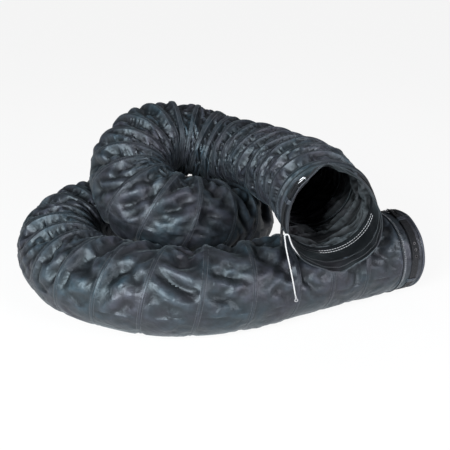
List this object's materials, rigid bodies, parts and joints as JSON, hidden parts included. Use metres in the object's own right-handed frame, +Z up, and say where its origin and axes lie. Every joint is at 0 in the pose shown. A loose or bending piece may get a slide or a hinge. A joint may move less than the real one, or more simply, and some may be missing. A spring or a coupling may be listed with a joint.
{
  "type": "flexible air duct",
  "caption": "Flexible ventilation duct of coated fabric over a spring wire, lying coiled, with a belted cuff at each end and a ground wire.",
  "frame": {"origin": "on the floor under the middle of the coiled duct's box", "axes": "+Z up, +X along the longest side of the coil towards the far end, -Y the side that the near mouth opens to"},
  "size_m": [1.0575, 0.7208, 0.4445],
  "materials": {
    "coated_fabric": "glossy vinyl coating, crinkled",
    "binding": "satin coated tape",
    "webbing": "woven strap, matt",
    "spring_steel": "drawn wire",
    "plated_steel": "zinc plated",
    "wire_insulation": "smooth white sleeve"
  },
  "bodies": {
    "duct": {"duct_sleeve": "coated_fabric", "wire_helix": "spring_steel", "near_end_hoop": "spring_steel", "near_cuff": "coated_fabric", "near_mouth_lip": "coated_fabric", "near_belt": "webbing", "near_belt_loops": "binding", "ground_rivet": "plated_steel", "ground_washer": "plated_steel", "ground_wire": "wire_insulation", "ground_lug": "plated_steel", "far_end_hoop": "spring_steel", "far_cuff": "coated_fabric", "far_hem": "binding", "far_belt": "webbing", "far_belt_loops": "binding"},
    "near_buckle": {"near_buckle_frame": "plated_steel"},
    "near_tongue": {"near_buckle_tongue": "plated_steel"},
    "near_tail": {"near_belt_tail": "webbing", "near_tail_eyelets": "plated_steel"},
    "far_buckle": {"far_buckle_frame": "plated_steel"},
    "far_tongue": {"far_buckle_tongue": "plated_steel"},
    "far_tail": {"far_belt_tail": "webbing", "far_tail_eyelets": "plated_steel"}
  },
  "joints": [
    {"name": "near_buckle_tilt", "type": "hinge", "parent": "duct", "child": "near_buckle", "pos_m": [0.18084, -0.27927, 0.37821], "axis": [0.1392, -0.9903, 0], "range_deg": [0, 25]},
    {"name": "near_tongue_lift", "type": "hinge", "parent": "near_buckle", "child": "near_tongue", "pos_m": [0.18084, -0.27927, 0.37821], "axis": [0.1392, -0.9903, 0], "range_deg": [0, 75]},
    {"name": "near_tail_swing", "type": "hinge", "parent": "duct", "child": "near_tail", "pos_m": [0.15276, -0.28322, 0.30695], "axis": [-0.1392, 0.9903, 0], "range_deg": [0, 60]},
    {"name": "far_buckle_tilt", "type": "hinge", "parent": "duct", "child": "far_buckle", "pos_m": [0.46148, -0.05976, 0.21293], "axis": [0.9397, 0.342, 0], "range_deg": [0, 25]},
    {"name": "far_tongue_lift", "type": "hinge", "parent": "far_buckle", "child": "far_tongue", "pos_m": [0.46148, -0.05976, 0.21293], "axis": [0.9397, 0.342, 0], "range_deg": [0, 75]},
    {"name": "far_tail_lift", "type": "hinge", "parent": "duct", "child": "far_tail", "pos_m": [0.47906, -0.10806, 0.20669], "axis": [-0.9397, -0.342, 0], "range_deg": [0, 35]}
  ]
}
